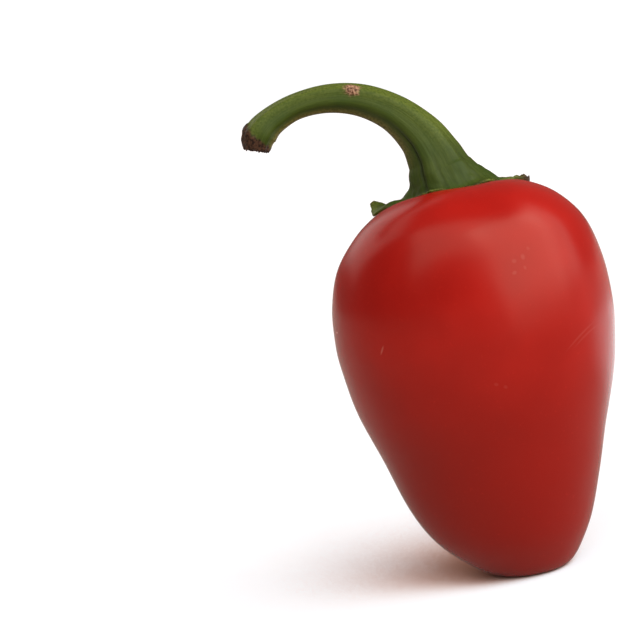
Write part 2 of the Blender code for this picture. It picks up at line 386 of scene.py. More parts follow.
def crumple(place):
    return sum(noise.noise(place / size) * height for size, height in CALYX_CRUMPLE)


def on_calyx(azimuth, radius, thickness=0.0, lift=0.0):
    """A point of the calyx, the given thickness off its underside, which follows the fruit."""
    above = Vector((AXIS_X + radius * cos(azimuth), radius * sin(azimuth), 2 * FRUIT_HEIGHT))
    place, normal, _, _ = skin.ray_cast(above, -UP)
    return place + normal * (CALYX_GAP + thickness) + UP * lift


def calyx_ring(share, thickness=0.0):
    """A ring of the calyx: share 0 is the stem's foot and 1 the calyx's toothed edge."""
    ring = []
    for azimuth in RING_ANGLES:
        radius = mix(foot_radius(azimuth), calyx_reach(azimuth), share)
        place = on_calyx(azimuth, radius, thickness, calyx_lift(azimuth, share))
        if thickness:
            place += UP * crumple(place) * smoothstep(0, CRUMPLE_FULL, share)
            lumps = 1 + KNOB_LUMPS * noise.noise(place / KNOB_GRAIN)
            place += UP * KNOB_HEIGHT * knob_share(azimuth, share) * lumps
        ring.append(place)
    return ring


# %% [markdown]
# The stem is woody and ribbed, thick where it leaves the calyx and hooked over like a crook. It could
# be a bevelled curve, but its ribs have to run down into the calyx, so it is made of the same rings.
# Each ring stands square to the centreline, and is turned only as much as the line turns, so that
# the ribs don't twist.

# %% Stem sizes
STEM_LINE = (
    (0.3 * MM, 0.2 * MM, 68.6 * MM, 8.6 * MM),
    (-0.5 * MM, 0.6 * MM, 70.9 * MM, 6.6 * MM),
    (-1.1 * MM, 1.0 * MM, 73.0 * MM, 5.6 * MM),
    (-1.75 * MM, 1.3 * MM, 75.8 * MM, 4.73 * MM),
    (-3.5 * MM, 1.7 * MM, 79.8 * MM, 3.95 * MM),
    (-7.2 * MM, 2.3 * MM, 84.2 * MM, 3.2 * MM),
    (-12.3 * MM, 2.7 * MM, 87.4 * MM, 2.78 * MM),
    (-18.0 * MM, 2.8 * MM, 88.8 * MM, 2.45 * MM),
    (-23.8 * MM, 2.5 * MM, 88.5 * MM, 2.24 * MM),
    (-28.4 * MM, 2.1 * MM, 86.8 * MM, 2.45 * MM),
    (-31.0 * MM, 1.8 * MM, 84.7 * MM, 2.8 * MM),
    (-32.0 * MM, 1.6 * MM, 82.1 * MM, 2.1 * MM),
)
STEM_FROM = 2  # the point of the line where the stem is clear of its flare
STEM_STEPS = 11
STEM_RIBS = 6
RIB_AZIMUTH = radians(5)
RIB_SHARE = 0.045  # rib height against the stem's radius

# Narrow grooves between the ribs: azimuth, share of the radius that they cut, half width and how far
# up the stem they are gone
GROOVES = (
    (radians(229), 0.085, radians(5), 19 * MM),
    (radians(262), 0.022, radians(4), 10 * MM),
    (radians(318), 0.028, radians(6), 14 * MM),
    (radians(28), 0.045, radians(8), 30 * MM),
    (radians(94), 0.055, radians(7), 34 * MM),
    (radians(151), 0.050, radians(7), 26 * MM),
)
GROOVE_FADE = 0.45  # share of a groove's length after which it grows shallow
FIBRE_SHARE = 0.007  # the finest ribs against the stem's radius
FIBRES = 15.0  # waves of the fibres in a unit of the ring's circle
FIBRE_LENGTH = 6 * MM


# %% Rings of the stem
def groove_share(azimuth, along):
    """How deep the grooves cut at a place on the stem, as a share of the radius."""
    return sum(
        deep
        * bump(turn_between(azimuth, at), 0, wide)
        * (1 - smoothstep(GROOVE_FADE * gone, gone, along))
        for at, deep, wide, gone in GROOVES
    )


def stem_radius(azimuth, radius, along):
    rib = RIB_SHARE * cos(STEM_RIBS * (azimuth - RIB_AZIMUTH))
    across = Vector((cos(azimuth) * FIBRES, sin(azimuth) * FIBRES, along / FIBRE_LENGTH))
    fibre = FIBRE_SHARE * noise.noise(across)
    return radius * (1 + rib + fibre - groove_share(azimuth, along))


line = spline(STEM_LINE, STEM_STEPS)
centres = [Vector(p[:3]) + Vector((AXIS_X, 0, 0)) for p in line]
directions = [(b - a).normalized() for a, b in zip(centres, centres[1:])]
directions.append(directions[-1])
lengths = [0.0]
for a, b in zip(centres, centres[1:]):
    lengths.append(lengths[-1] + (b - a).length)
side = Vector((1, 0, 0))
side = (side - directions[0] * side.dot(directions[0])).normalized()
before = directions[0]
stem_frames = []
for centre, point, along, ahead in zip(centres, line, lengths, directions):
    side.rotate(before.rotation_difference(ahead))
    stem_frames.append((centre, side.copy(), ahead.cross(side), ahead, point[3], along))
    before = ahead
STEM_LENGTH = lengths[-1]
print("the stem's centreline is", round(STEM_LENGTH / MM, 1), "mm long")

# %% The flare between calyx and stem
FLARE_PULL_BACK = 0.5  # how strongly the flare hollows out, on the side behind the hook
FLARE_PULL_HOOK = 0.8  # and under the hook
FLARE_LUMPS = 0.16 * MM
FLARE_LUMP_SIZE = 1.1 * MM
FLARE_RISE = 0.5  # how much its lumps stand up, for each share that they stand out


def flare_point(azimuth, shoulder, foot, start, above, share):
    """A point of the hollow flare that joins the calyx's foot to the start of the stem."""
    pull = mix(FLARE_PULL_HOOK, FLARE_PULL_BACK, (1 + cos(azimuth)) / 2) * (start - foot).length
    leaving = (foot - shoulder).normalized() * pull
    arriving = (above - start).normalized() * pull
    place = curve_between(start - 2 * leaving, foot, start, foot + 2 * arriving, share)
    lumps = noise.noise(place / FLARE_LUMP_SIZE) * FLARE_LUMPS * sin(pi * share)
    return place + Vector((cos(azimuth), sin(azimuth), FLARE_RISE)) * lumps


# %% [markdown]
# Where the stem tore from the plant it swelled into a joint, so its end is a ragged dark brown
# cup, with a broken rim that leans, and a rough middle where the strands were. High on the arch an
# insect or a rub has left a small corky scar. Both are raised from the same rings by noise.

# %% The corky scar and the broken end
SCAR_ALONG = 25.8 * MM
SCAR_AZIMUTH = radians(303)
SCAR_LENGTH = 1.5 * MM
SCAR_WIDTH = radians(30)
SCAR_RELIEF = 0.2 * MM
SCAR_SOLID = 0.7  # share of its size up to which it is solid, and where it ends
SCAR_ENDS = 1.05
SCAR_RAG = 0.45  # how ragged its outline is, as a share of its size
SCAR_RAG_WAVES = 5  # to a radian
SCAR_RAG_LENGTH = 0.5 * MM
SCAR_SPECKS = ((0.35 * MM, 1.0), (0.15 * MM, 0.5))  # its lumps: size and share of the relief
SCAR_LEVEL = 0.6  # the height that the lumps vary about
END_BROWN = 2.3 * MM  # how far the brown of the broken end reaches up the stem
END_LEAN = 1.3 * MM  # how much further it reaches on the outside of the hook, and less on the inside
END_RAG = 0.7 * MM  # how ragged the brown's border is
END_RAG_WAVES = 3  # in a unit of the ring's circle
END_FADE = 0.6 * MM
END_SWELL = 0.3 * MM  # how far the dead outer bark stands off there
BARK_LUMPS = 0.2 * MM
BARK_LUMP_SIZE = 0.8 * MM
RIM_RAG = 0.4 * MM
RIM_WAVES = ((2.5, 0, 1.0), (8, 5, 0.5))  # waves in a unit of the rim's circle, layer, strength
RIM_REACH = 1.6 * MM  # how far up the stem the rim's raggedness is felt
RIM_SPLINTER = radians(322)
SPLINTER_SPREAD = radians(7)
SPLINTER_HEIGHT = 1.5  # against RIM_RAG
END_CUP = 0.6 * MM
END_LUMPS = 0.4 * MM
END_LUMP_SIZE = 0.6 * MM
END_SHARES = (0.97, 0.9, 0.82, 0.72, 0.6, 0.48, 0.36, 0.24, 0.12, 0.05)


def scar_share(azimuth, along):
    """1 in the corky scar on top of the arch, 0 round it."""
    wave = Vector((azimuth * SCAR_RAG_WAVES, along / SCAR_RAG_LENGTH, 3))
    away = sqrt(
        (turn_between(azimuth, SCAR_AZIMUTH) / SCAR_WIDTH) ** 2
        + ((along - SCAR_ALONG) / SCAR_LENGTH) ** 2
    )
    return 1 - smoothstep(SCAR_SOLID, SCAR_ENDS, away + SCAR_RAG * noise.noise(wave))


def end_share(azimuth, along):
    """1 in the dead brown tissue by the break, 0 in the green stem."""
    wave = Vector((cos(azimuth) * END_RAG_WAVES, sin(azimuth) * END_RAG_WAVES, 7))
    reach = END_BROWN + END_LEAN * cos(azimuth) + END_RAG * noise.noise(wave)
    return smoothstep(-reach, END_FADE - reach, along - STEM_LENGTH)


def stem_ring(frame_at, share=1.0, sink=0.0):
    """One ring of the stem. A share below 1 closes it in on the middle of the broken end."""
    centre, side, other, ahead, radius, along = frame_at
    ring = []
    for azimuth in RING_ANGLES:
        reach = stem_radius(azimuth, radius, along) * share
        out = side * cos(azimuth) + other * sin(azimuth)
        place = centre + out * reach - ahead * sink
        scar = scar_share(azimuth, along) if share == 1.0 else 0.0
        if scar:
            lumps = SCAR_LEVEL + sum(noise.noise(place / size) * high for size, high in SCAR_SPECKS)
            place += out * SCAR_RELIEF * scar * lumps
        dead = end_share(azimuth, along)
        if dead:
            rag = sum(
                strong * noise.noise(Vector((cos(azimuth), sin(azimuth), layer)) * waves)
                for waves, layer, strong in RIM_WAVES
            )
            rag += SPLINTER_HEIGHT * bump(turn_between(azimuth, RIM_SPLINTER), 0, SPLINTER_SPREAD)
            near_rim = smoothstep(STEM_LENGTH - RIM_REACH, STEM_LENGTH, along) * share**3
            place += ahead * rag * RIM_RAG * near_rim
            place += out * noise.noise(place / BARK_LUMP_SIZE) * BARK_LUMPS * dead * share
            place += out * END_SWELL * max(0.0, cos(azimuth)) * dead * share
            if share < 1.0:
                place += ahead * noise.noise(place / END_LUMP_SIZE) * END_LUMPS
        ring.append(place)
    return ring


# %% [markdown]
# The material has to know where it is on the stem, so each point carries five marks: how dead and
# brown, how corky, how deep in a groove, where shade is painted, how near the tan line on the inside of
# the hook, and how far round on its outer side, where light is painted. A sixth, a vector, is the place
# round and along the stem, which the grain of the fibres follows.

# %% Marks that the materials read
MARK_NAMES = ("dead", "cork", "groove", "tan", "outer")
INNER_AZIMUTH = radians(196)
INNER_SPREAD = radians(17)
# painted light: the stem is paler round its outer side
OUTER_AZIMUTH = radians(330)
OUTER_SPREAD = radians(45)
SIDES_START = 5 * MM  # how far up the stem both sides start to differ
INNER_FULL = 14 * MM
OUTER_FULL = 12 * MM
GROOVE_DARK = 0.06  # share of the radius from which a groove's painted shade is as dark as it gets
MARGIN_BROWN = 0.72  # share of the way out where the calyx starts to brown
MARGIN_RAG = 0.1
MARGIN_RAG_WAVES = 9  # in a unit of the calyx's circle
MARGIN_DEAD = 0.8  # how brown it gets at the edge, and how much of that the teeth lose
PATCH_WAVES = 3  # the margin browns in patches: their waves in a unit of the circle
PATCH_START = -0.1
PATCH_FULL = 0.3
PATCH_LEAST = 0.25  # how brown it is between the patches
FOOT_GROOVES = 0.8  # how dark the painted shade in the grooves still is on the calyx
PAINTED_LIGHT_FROM = 0.5  # shares of the way out where painted light makes the teeth as pale as the stem's lit outer side
PAINTED_LIGHT_FULL = 0.9
PAINTED_LIGHT_SIDE = 0.4


def stem_marks(azimuth, along):
    inner = bump(turn_between(azimuth, INNER_AZIMUTH), 0, INNER_SPREAD)
    outer = bump(turn_between(azimuth, OUTER_AZIMUTH), 0, OUTER_SPREAD)
    return {
        "dead": end_share(azimuth, along),
        "cork": scar_share(azimuth, along),
        # painted shade: darker in the grooves
        "groove": min(1.0, groove_share(azimuth, along) / GROOVE_DARK),
        "tan": inner * smoothstep(SIDES_START, INNER_FULL, along),
        # painted light: paler round the outer side
        "outer": outer * smoothstep(SIDES_START, OUTER_FULL, along),
    }


def calyx_marks(azimuth, share):
    round_place = Vector((cos(azimuth), sin(azimuth), 0))
    ragged = MARGIN_RAG * noise.noise(round_place * MARGIN_RAG_WAVES)
    margin = smoothstep(MARGIN_BROWN, 1.0, share + ragged)
    patch = smoothstep(PATCH_START, PATCH_FULL, noise.noise(round_place * PATCH_WAVES + UP))
    on_tooth = max(tooth_share(azimuth, tooth[0], tooth[2], 1.0) for tooth in CALYX_TEETH)
    browned = MARGIN_DEAD * margin * mix(PATCH_LEAST, 1, patch) * (1 - MARGIN_DEAD * on_tooth)
    grooved = min(1.0, groove_share(azimuth, 0) / GROOVE_DARK)
    return {
        "dead": max(knob_share(azimuth, share), browned),
        "cork": 0.0,
        # painted shade in the grooves, fading out over the calyx
        "groove": FOOT_GROOVES * grooved * (1 - share),
        "tan": 0.0,
        # painted light: the teeth's outer parts as pale as the stem's lit side
        "outer": smoothstep(PAINTED_LIGHT_FROM, PAINTED_LIGHT_FULL, share) * smoothstep(0.0, PAINTED_LIGHT_SIDE, on_tooth),
    }


# %% List every ring, from the calyx's underside to the middle of the broken end
UNDER_SHARES = [index / 14 for index in range(14)] + [0.97]
TOP_SHARES = [0.985, 0.96, 0.93] + [index / 22 for index in range(20, -1, -1)]
MIDDLE_SHARES = (0.06, 0.2, 0.4, 0.6, 0.8)
FLARE_STEPS = 16
FLARE_FROM = 0.15  # share of the way out over the calyx where the stem's flare starts to rise

rings = []
for share in MIDDLE_SHARES:
    middle = [on_calyx(azimuth, share * foot_radius(azimuth)) for azimuth in RING_ANGLES]
    rings.append((middle, [calyx_marks(a, 0) for a in RING_ANGLES], 0))
for share in UNDER_SHARES:
    rings.append((calyx_ring(share), [calyx_marks(a, share) for a in RING_ANGLES], -share))
edge = calyx_ring(1.0, CALYX_EDGE / 2)
rings.append((edge, [calyx_marks(a, 1.0) for a in RING_ANGLES], -1.0))
for share in TOP_SHARES:
    thickness = mix(CALYX_ROOT, CALYX_EDGE, share)
    rings.append((calyx_ring(share, thickness), [calyx_marks(a, share) for a in RING_ANGLES], -share))
stem_frames = stem_frames[STEM_FROM * STEM_STEPS :]
grown = [stem_ring(frame_at) for frame_at in stem_frames]
foot = rings[-1][0]
shoulder = calyx_ring(FLARE_FROM, mix(CALYX_ROOT, CALYX_EDGE, FLARE_FROM))
flare_spans = list(zip(RING_ANGLES, shoulder, foot, grown[0], grown[STEM_STEPS // 2]))
for step in range(1, FLARE_STEPS):
    flare = [flare_point(*span, step / FLARE_STEPS) for span in flare_spans]
    rings.append((flare, [calyx_marks(a, 0) for a in RING_ANGLES], 0))
for ring, frame_at in zip(grown, stem_frames):
    rings.append((ring, [stem_marks(a, frame_at[5]) for a in RING_ANGLES], frame_at[5]))
for share in END_SHARES:
    sink = END_CUP * (1 - share) ** 0.5
    ring = stem_ring(stem_frames[-1], share, sink)
    rings.append((ring, [stem_marks(a, STEM_LENGTH) for a in RING_ANGLES], STEM_LENGTH))
print("the stem and calyx have", len(rings), "rings of", STEM_SIDES, "points")

# %% Grow the rings into one closed skin
def grow_ring(bm, ring, places):
    """Extrudes a closed ring of vertices and moves the new ones, kept in order, to their places."""
    edges = [bm.edges.get(pair) for pair in zip(ring, ring[1:] + ring[:1])]
    made = bmesh.ops.extrude_edge_only(bm, edges=edges)["geom"]
    new = {v for v in made if isinstance(v, bmesh.types.BMVert)}
    grown = [
        next(e.other_vert(v) for e in v.link_edges if e.other_vert(v) in new) for v in ring
    ]
    for vert, place in zip(grown, places):
        vert.co = place
    return grown


def close_ring(bm, ring):
    """Closes a small ring with a fan to its middle."""
    edges = [bm.edges.get(pair) for pair in zip(ring, ring[1:] + ring[:1])]
    face = bmesh.ops.edgeloop_fill(bm, edges=edges)["faces"]
    bmesh.ops.poke(bm, faces=face)


stem_bm = bmesh.new()
mark_layers = {name: stem_bm.verts.layers.float.new(name) for name in MARK_NAMES}
grain_layer = stem_bm.verts.layers.float_vector.new("grain")
ring = bmesh.ops.create_circle(stem_bm, segments=STEM_SIDES, radius=MM)["verts"]
for index, (places, marks, along) in enumerate(rings):
    if index:
        ring = grow_ring(stem_bm, ring, places)
    for vert, place, mark, azimuth in zip(ring, places, marks, RING_ANGLES):
        vert.co = place
        for name in MARK_NAMES:
            vert[mark_layers[name]] = mark[name]
        vert[grain_layer] = Vector((cos(azimuth), sin(azimuth), along / MM if along > 0 else along * 8))
    if index == 0:
        close_ring(stem_bm, ring)
close_ring(stem_bm, ring)
bmesh.ops.recalc_face_normals(stem_bm, faces=stem_bm.faces)
print("the stem and calyx have", len(stem_bm.faces), "faces")

# %% [markdown]
# Materials come next. Each starts from what the surface really is. All colours are written as sRGB
# hex values, and one function turns them to the linear values that the shader mixes.

# %% Helpers for materials
def linear(code):
    """An sRGB hex colour as linear red, green, blue and alpha."""
    shares = [int(code[place : place + 2], 16) / 255 for place in (1, 3, 5)]
    return (*[s / 12.92 if s <= 0.04045 else ((s + 0.055) / 1.055) ** 2.4 for s in shares], 1.0)


def add_node(tree, kind, inputs=None, **settings):
    """Adds a node. settings are its own properties, inputs are values or links for its sockets."""
    node = tree.nodes.new(kind)
    for name, value in settings.items():
        setattr(node, name, value)
    for name, value in (inputs or {}).items():
        if isinstance(value, bpy.types.NodeSocket):
            tree.links.new(value, node.inputs[name])
        else:
            node.inputs[name].default_value = value
    return node


def new_material(name):
    material = bpy.data.materials.new(name)
    material.use_nodes = True
    shader = material.node_tree.nodes["Principled BSDF"]
    return material, material.node_tree, shader


# The sockets of a colour Mix node
FACTOR, FIRST, SECOND, MIXED = 0, 6, 7, 2

# %% [markdown]
# Handling has left a few tiny marks on the skin: a pale streak, a dot, a faint double scratch and some
# specks. Five pale dabs in the highlight are painted glints. Each lies between two pixels of the
# picture, so it is placed by looking through them.

# %% Marks and painted glints on the skin
# Each mark or painted glint: the two pixels it runs between, half width, how far it bows in half widths,
# strength
SKIN_MARKS_AND_GLINTS = (
    ((383.6, 345.2), (380.6, 355.6), 0.22 * MM, 0.0, 0.22),
    ((336.0, 332.7), (337.8, 332.7), 0.22 * MM, 0.0, 0.6),
    ((564.0, 350.5), (594.0, 318.5), 0.25 * MM, 2.0, 0.06),
    ((572.0, 347.0), (597.5, 322.0), 0.25 * MM, 2.0, 0.05),
    # painted glints: five pale dabs in the highlight, which stand in for its sparkle
    ((522.0, 253.4), (523.6, 260.2), 0.45 * MM, 0.0, 0.07),
    ((528.8, 246.8), (527.2, 250.0), 0.40 * MM, 0.0, 0.05),
    ((526.4, 266.8), (523.6, 268.4), 0.40 * MM, 0.0, 0.06),
    ((513.4, 258.6), (514.8, 263.6), 0.50 * MM, 0.0, 0.06),
    ((513.4, 270.8), (515.6, 274.8), 0.50 * MM, 0.0, 0.07),
    # pale specks lower down on the skin
    ((493.5, 383.8), (499.0, 385.2), 0.35 * MM, 0.0, 0.05),
    ((503.5, 385.6), (508.0, 388.4), 0.35 * MM, 0.0, 0.05),
)
MARK_AND_GLINT_DEPTH = 2.0 * MM  # how far above and below the skin a mark's colour would reach
MARK_AND_GLINT_GONE = 1.15  # half widths from its middle line at which a mark has faded out
MARK_AND_GLINT_FULL = 0.4
MARK_AND_GLINT_COLOUR = "#d98f80"


def skin_under(pixel):
    """The place and normal of the skin under a pixel, counted from the picture's top left corner."""
    across = (pixel[0] - IMAGE_SIDE / 2) / IMAGE_SIDE * SENSOR
    up = (IMAGE_SIDE / 2 - pixel[1]) / IMAGE_SIDE * SENSOR
    ray = turn @ Vector((across, up, -LENS))
    place, normal, _, _ = skin.ray_cast(camera.location, ray.normalized())
    return place, normal


def mark_or_glint_on_skin(tree, place, start, end, half_width, bow):
    """How strongly one mark or painted glint colours a place: 1 on its middle line, 0 round it."""
    (first, first_normal), (last, last_normal) = skin_under(start), skin_under(end)
    outward = (first_normal + last_normal).normalized()
    along = (last - first).normalized()
    sideways = outward.cross(along).normalized()
    turned = Matrix((along, sideways, along.cross(sideways))).transposed()
    half_length = (last - first).length / 2
    local = add_node(
        tree,
        "ShaderNodeMapping",
        {
            "Vector": place,
            "Location": (first + last) / 2,
            "Rotation": turned.to_euler(),
            "Scale": (half_length, half_width, MARK_AND_GLINT_DEPTH),
        },
        vector_type="TEXTURE",
    )
    parts = add_node(tree, "ShaderNodeSeparateXYZ", {0: local.outputs["Vector"]})
    squared = add_node(tree, "ShaderNodeMath", {0: parts.outputs["X"], 1: 2.0}, operation="POWER")
    bowed = add_node(
        tree,
        "ShaderNodeMath",
        {0: squared.outputs[0], 1: bow, 2: parts.outputs["Y"]},
        operation="MULTIPLY_ADD",
    )
    straight = add_node(
        tree,
        "ShaderNodeCombineXYZ",
        {"X": parts.outputs["X"], "Y": bowed.outputs[0], "Z": parts.outputs["Z"]},
    )
    away = add_node(
        tree, "ShaderNodeVectorMath", {0: straight.outputs["Vector"]}, operation="LENGTH"
    )
    share = add_node(
        tree,
        "ShaderNodeMapRange",
        {"Value": away.outputs["Value"], "From Min": MARK_AND_GLINT_GONE, "From Max": MARK_AND_GLINT_FULL},
        interpolation_type="SMOOTHSTEP",
    )
    return share.outputs["Result"]


print("the skin has", len(SKIN_MARKS_AND_GLINTS), "small marks")

# %% [markdown]
# A ripe pepper's skin is a thin waxy cuticle over cells packed with red pigment. It is smooth but not
# polished: a window in it is a soft patch with blurred sides. The pigment lies a little below the
# surface, so light spreads in it. Patches about 12 mm across differ a little in red, the red darkens
# towards the tip as painted shade for the lower body, fine pale specks lie 0.6 mm apart, and a very low
# orange-peel bump, 0.9 mm from hill to hill, mottles the highlight.

# %% Reds of the waxy skin
PATCH_SIZE = 12 * MM
SPECK_SIZE = 0.6 * MM
PAINTED_SHADE_FROM = 52 * MM  # height under which painted shade starts to darken the red, and where it is darkest
PAINTED_SHADE_FULL = 14 * MM

skin_material, tree, shader = new_material("waxy_red_skin")
place = add_node(tree, "ShaderNodeTexCoord").outputs["Object"]
patches = add_node(
    tree,
    "ShaderNodeTexNoise",
    {"Vector": place, "Scale": 1 / PATCH_SIZE, "Detail": 2.0, "Roughness": 0.5},
)
patch_share = add_node(
    tree,
    "ShaderNodeMapRange",
    {"Value": patches.outputs["Fac"], "From Min": 0.25, "From Max": 0.75},
    interpolation_type="SMOOTHSTEP",
)
reds = add_node(
    tree,
    "ShaderNodeMix",
    {FACTOR: patch_share.outputs["Result"], FIRST: linear("#99130e"), SECOND: linear("#a51711")},
    data_type="RGBA",
)
height = add_node(tree, "ShaderNodeSeparateXYZ", {0: place}).outputs["Z"]
# painted shade: the red darkens towards the tip, where less light reaches the lower body
painted_shade_low = add_node(
    tree,
    "ShaderNodeMapRange",
    {"Value": height, "From Min": PAINTED_SHADE_FROM, "From Max": PAINTED_SHADE_FULL},
    interpolation_type="SMOOTHSTEP",
)
red_with_painted_shade = add_node(
    tree,
    "ShaderNodeMix",
    {FACTOR: painted_shade_low.outputs["Result"], FIRST: reds.outputs[MIXED], SECOND: linear("#8c130e")},
    data_type="RGBA",
)
specks = add_node(
    tree, "ShaderNodeTexNoise", {"Vector": place, "Scale": 1 / SPECK_SIZE, "Detail": 1.0}
)
speck_share = add_node(
    tree,
    "ShaderNodeMapRange",
    {"Value": specks.outputs["Fac"], "From Min": 0.66, "From Max": 0.80, "To Max": 0.22},
)
speckled = add_node(
    tree,
    "ShaderNodeMix",
    {FACTOR: speck_share.outputs["Result"], FIRST: red_with_painted_shade.outputs[MIXED], SECOND: linear("#b92419")},
    data_type="RGBA",
)

# %% Lay the small marks and painted glints over the reds
colour = speckled.outputs[MIXED]
for start, end, half_width, bow, strength in SKIN_MARKS_AND_GLINTS:
    share = add_node(
        tree,
        "ShaderNodeMath",
        {0: mark_or_glint_on_skin(tree, place, start, end, half_width, bow), 1: strength},
        operation="MULTIPLY",
    )
    marked_or_glinted = add_node(
        tree,
        "ShaderNodeMix",
        {FACTOR: share.outputs[0], FIRST: colour, SECOND: linear(MARK_AND_GLINT_COLOUR)},
        data_type="RGBA",
    )
    colour = marked_or_glinted.outputs[MIXED]
tree.links.new(colour, shader.inputs["Base Color"])

# %% Gloss and fine relief of the skin
PEEL_SIZE = 0.9 * MM
PEEL_HEIGHT = 0.15 * MM
SCATTER_REACH = 1.5 * MM  # how far light spreads under the skin

peel = add_node(
    tree, "ShaderNodeTexNoise", {"Vector": place, "Scale": 1 / PEEL_SIZE, "Detail": 2.0}
)
peel_bump = add_node(
    tree,
    "ShaderNodeBump",
    {"Height": peel.outputs["Fac"], "Strength": 0.05, "Distance": PEEL_HEIGHT},
)
tree.links.new(peel_bump.outputs["Normal"], shader.inputs["Normal"])
gloss = add_node(
    tree,
    "ShaderNodeMapRange",
    {"Value": patches.outputs["Fac"], "From Min": 0.2, "From Max": 0.8, "To Min": 0.22, "To Max": 0.27},
    interpolation_type="SMOOTHSTEP",
)
tree.links.new(gloss.outputs["Result"], shader.inputs["Roughness"])
shader.inputs["IOR"].default_value = 1.45
shader.inputs["Specular IOR Level"].default_value = 0.27
shader.inputs["Specular Tint"].default_value = linear("#fffbe3")
shader.inputs["Subsurface Weight"].default_value = 0.12
shader.inputs["Subsurface Radius"].default_value = (1.0, 0.25, 0.12)
shader.inputs["Subsurface Scale"].default_value = SCATTER_REACH

# %% [markdown]
# The stem is green and woody, with fibres that run its whole length, a thin dull cuticle, and brown
# dead tissue at the break. The fibres are drawn by noise that is long along the stem and fine round
# it, about 0.35 mm from one to the next, and a darker mottle about 4 mm across lies over them.

# %% Greens of the fibrous stem
FIBRE_STRETCH = (11.0, 11.0, 0.22)  # fine round the stem, long along it
MOTTLE_SIZE = 4 * MM

stem_material, tree, shader = new_material("fibrous_green_stem")
place = add_node(tree, "ShaderNodeTexCoord").outputs["Object"]
marks = {
    name: add_node(tree, "ShaderNodeAttribute", attribute_name=name).outputs["Fac"]
    for name in MARK_NAMES
}
grain = add_node(tree, "ShaderNodeAttribute", attribute_name="grain").outputs["Vector"]
grain_stretch = add_node(
    tree, "ShaderNodeMapping", {"Vector": grain, "Scale": FIBRE_STRETCH}
)
fibres = add_node(
    tree,
    "ShaderNodeTexNoise",
    {"Vector": grain_stretch.outputs["Vector"], "Scale": 1.0, "Detail": 3.0, "Roughness": 0.6},
)
fibre_share = add_node(
    tree, "ShaderNodeMapRange", {"Value": fibres.outputs["Fac"], "From Min": 0.25, "From Max": 0.75}
)
greens = add_node(
    tree,
    "ShaderNodeMix",
    {FACTOR: fibre_share.outputs["Result"], FIRST: linear("#31400d"), SECOND: linear("#425018")},
    data_type="RGBA",
)
mottle = add_node(
    tree, "ShaderNodeTexNoise", {"Vector": place, "Scale": 1 / MOTTLE_SIZE, "Detail": 3.0}
)
mottle_share = add_node(
    tree,
    "ShaderNodeMapRange",
    {"Value": mottle.outputs["Fac"], "From Min": 0.45, "From Max": 0.75, "To Max": 0.5},
)
mottled = add_node(
    tree,
    "ShaderNodeMix",
    {FACTOR: mottle_share.outputs["Result"], FIRST: greens.outputs[MIXED], SECOND: linear("#273e11")},
    data_type="RGBA",
)

# %% [markdown]
# Over the green lie five more tones: painted light on the outer side, painted shade in the grooves, the
# tan line inside the hook, the corky scar and the dead brown tissue. Each follows its own mark. Dead
# tissue and cork are grainy, with lumps about 0.4 mm across, so each tone runs between a dark and a pale
# colour.

# %% Painted light and shade, tan, corky and dead parts
GRAIN_SIZE = 0.4 * MM
grains = add_node(
    tree, "ShaderNodeTexNoise", {"Vector": place, "Scale": 1 / GRAIN_SIZE, "Detail": 2.0}
)
grain_share = add_node(
    tree, "ShaderNodeMapRange", {"Value": grains.outputs["Fac"], "From Min": 0.38, "From Max": 0.62}
)

# Each layer covers the one before: which mark it follows, how strongly, and its two colours
STEM_LAYERS = (
    # painted light on the outer side of the stem and on the teeth
    ("outer", 0.8, "#4a5a18", "#65712b"),
    # painted shade: darker in the grooves
    ("groove", 0.8, "#1f2a0a", "#27330e"),
    ("tan", 0.65, "#5f562c", "#837745"),
    ("cork", 1.0, "#4f2f20", "#b18a6e"),
    ("dead", 1.0, "#22140c", "#4d3425"),
)
colour = mottled.outputs[MIXED]
for name, strength, dark, pale in STEM_LAYERS:
    share = add_node(
        tree, "ShaderNodeMath", {0: marks[name], 1: strength}, operation="MULTIPLY", use_clamp=True
    )
    grainy = add_node(
        tree,
        "ShaderNodeMix",
        {FACTOR: grain_share.outputs["Result"], FIRST: linear(dark), SECOND: linear(pale)},
        data_type="RGBA",
    )
    layer = add_node(
        tree,
        "ShaderNodeMix",
        {FACTOR: share.outputs[0], FIRST: colour, SECOND: grainy.outputs[MIXED]},
        data_type="RGBA",
    )
    colour = layer.outputs[MIXED]
tree.links.new(colour, shader.inputs["Base Color"])
print("the stem's green carries", len(STEM_LAYERS), "more tones")

# %% Dull gloss and fine relief of the stem
FIBRE_HEIGHT = 0.2 * MM
fibre_bump = add_node(
    tree,
    "ShaderNodeBump",
    {"Height": fibres.outputs["Fac"], "Strength": 0.14, "Distance": FIBRE_HEIGHT},
)
tree.links.new(fibre_bump.outputs["Normal"], shader.inputs["Normal"])
shader.inputs["Roughness"].default_value = 0.5
shader.inputs["IOR"].default_value = 1.42
shader.inputs["Specular IOR Level"].default_value = 0.22

# %% Add the two pieces
add_piece("pepper_fruit", fruit_bm, skin_material, "fruit")
add_piece("pepper_stem_and_calyx", stem_bm, stem_material, "stem_and_calyx")

# %% [markdown]
# The pepper stood on a white sheet in a white surround. The floor is a wide white disc. What it throws
# back on the pepper is weaker than the white that the camera sees, and a painted pool of light behind
# and to the right, which also glows, brightens it there, so the paper has one colour for the camera and
# another for everything else.

# %% Colours of the white floor, with a painted pool of light and a painted shadow tone
LIT_PLACE = Vector((150, 150, 0)) * MM  # the middle of the painted pool of light
LIT_FULL = 70 * MM  # the painted pool is full up to this far from there
LIT_GONE = 160 * MM
PAPER_PATCH = 50 * MM

floor_material, tree, shader = new_material("white_floor_painted_light_and_shadow")
place = add_node(tree, "ShaderNodeTexCoord").outputs["Object"]
paper = add_node(tree, "ShaderNodeTexNoise", {"Vector": place, "Scale": 1 / PAPER_PATCH, "Detail": 2.0})
